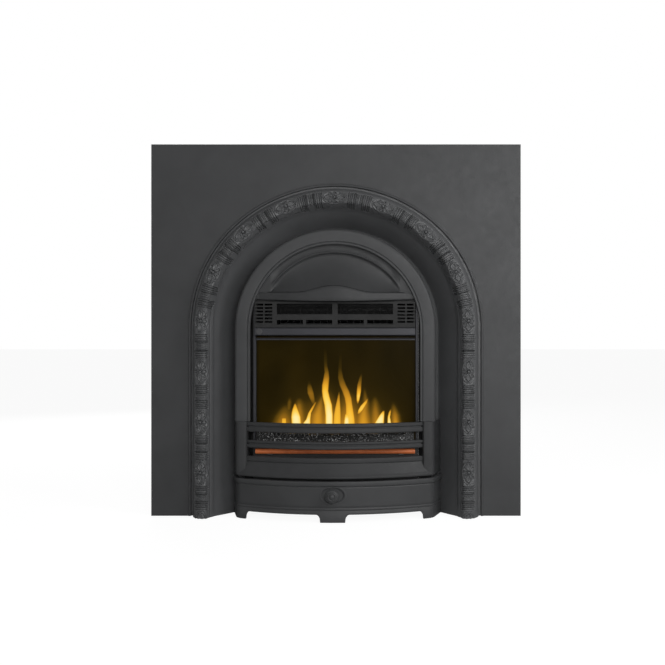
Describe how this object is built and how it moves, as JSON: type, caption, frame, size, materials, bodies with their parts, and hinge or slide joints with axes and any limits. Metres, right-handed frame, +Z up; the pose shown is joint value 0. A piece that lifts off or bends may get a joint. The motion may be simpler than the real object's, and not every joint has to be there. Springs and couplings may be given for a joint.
{
  "type": "electric fireplace insert",
  "caption": "Arched cast-iron fireplace insert with an ornamented roll, hood and bowed fret round a built-in electric flame-effect fan heater with a pull-off ash cover.",
  "frame": {"origin": "middle of the object's footprint, on the hearth", "axes": "+X to the object's right as seen from the front, +Y into the wall, +Z up"},
  "size_m": [0.965, 0.3, 0.97],
  "materials": {
    "cast_iron": "matt black cast finish",
    "case_steel": "satin black",
    "satin_metal": "satin pewter",
    "bright_steel": "bright",
    "black_plastic": "matt",
    "smoked_acrylic": "smoked, translucent",
    "dark_lens": "gloss",
    "bronze": "plain bearing bronze",
    "lamp_glass": "clear",
    "coal": "gloss black moulding",
    "ember_orange": "orange",
    "board_green": "matt"
  },
  "bodies": {
    "fireplace": {"surround_plate": "cast_iron", "arch_moulding": "cast_iron", "arch_frame": "cast_iron", "canopy_hood": "cast_iron", "fire_fret": "cast_iron", "case_base": "case_steel", "case_top": "case_steel", "case_left_side": "case_steel", "case_right_side": "case_steel", "case_back": "case_steel", "left_runner": "case_steel", "right_runner": "case_steel", "mounting_collar": "case_steel", "outlet_mesh": "case_steel", "blower_scroll": "case_steel", "blower_left_end": "case_steel", "blower_right_end": "case_steel", "spindle_left_bracket": "case_steel", "spindle_right_bracket": "case_steel", "fuel_bed_tray": "case_steel", "ember_backplate": "case_steel", "control_panel": "case_steel", "left_screen_trim": "satin_metal", "right_screen_trim": "satin_metal", "screen_top_trim": "satin_metal", "lintel_bar": "satin_metal", "outlet_duct": "bright_steel", "heating_element": "bright_steel", "fan_motor": "bright_steel", "flame_mask": "bright_steel", "spindle_motor": "bright_steel", "dimmer_pot": "bright_steel", "heater_grille": "black_plastic", "thermal_cutout": "black_plastic", "left_lampholder": "black_plastic", "right_lampholder": "black_plastic", "left_ember_clip": "black_plastic", "right_ember_clip": "black_plastic", "power_switch": "black_plastic", "low_heat_switch": "black_plastic", "high_heat_switch": "black_plastic", "terminal_block": "black_plastic", "cable_gland": "black_plastic", "flame_screen": "smoked_acrylic", "receiver_lens": "dark_lens", "fan_bearing": "bronze", "left_lamp": "lamp_glass", "right_lamp": "lamp_glass", "fuel_bed": "coal", "ember_tube": "ember_orange", "control_board": "board_green"},
    "pull_off_cover": {"ash_cover": "cast_iron", "cover_knob": "cast_iron", "knob_nut": "bright_steel"},
    "power_rocker": {"power_rocker": "black_plastic"},
    "low_heat_rocker": {"low_heat_rocker": "black_plastic"},
    "high_heat_rocker": {"high_heat_rocker": "black_plastic"},
    "dimmer_knob": {"dimmer_knob": "black_plastic"},
    "impeller": {"fan_impeller": "black_plastic"},
    "flame_rotor": {"flame_spindle": "bright_steel"}
  },
  "joints": [
    {"name": "cover_pull", "type": "slide", "parent": "fireplace", "child": "pull_off_cover", "axis": [0, -1, 0], "range_m": [0, 0.16]},
    {"name": "power_switch_rock", "type": "hinge", "parent": "fireplace", "child": "power_rocker", "pos_m": [-0.075, -0.0415, 0.066], "axis": [1, 0, 0], "range_deg": [0, 16]},
    {"name": "low_heat_switch_rock", "type": "hinge", "parent": "fireplace", "child": "low_heat_rocker", "pos_m": [-0.05, -0.0415, 0.066], "axis": [1, 0, 0], "range_deg": [0, 16]},
    {"name": "high_heat_switch_rock", "type": "hinge", "parent": "fireplace", "child": "high_heat_rocker", "pos_m": [-0.025, -0.0415, 0.066], "axis": [1, 0, 0], "range_deg": [0, 16]},
    {"name": "dimmer_turn", "type": "hinge", "parent": "fireplace", "child": "dimmer_knob", "pos_m": [0.06, -0.0452, 0.066], "axis": [0, -1, 0], "range_deg": [0, 270]},
    {"name": "impeller_spin", "type": "hinge", "parent": "fireplace", "child": "impeller", "pos_m": [0, 0.072, 0.527], "axis": [1, 0, 0], "continuous": true},
    {"name": "flame_rotor_spin", "type": "hinge", "parent": "fireplace", "child": "flame_rotor", "pos_m": [0, 0.045, 0.235], "axis": [1, 0, 0], "continuous": true}
  ]
}
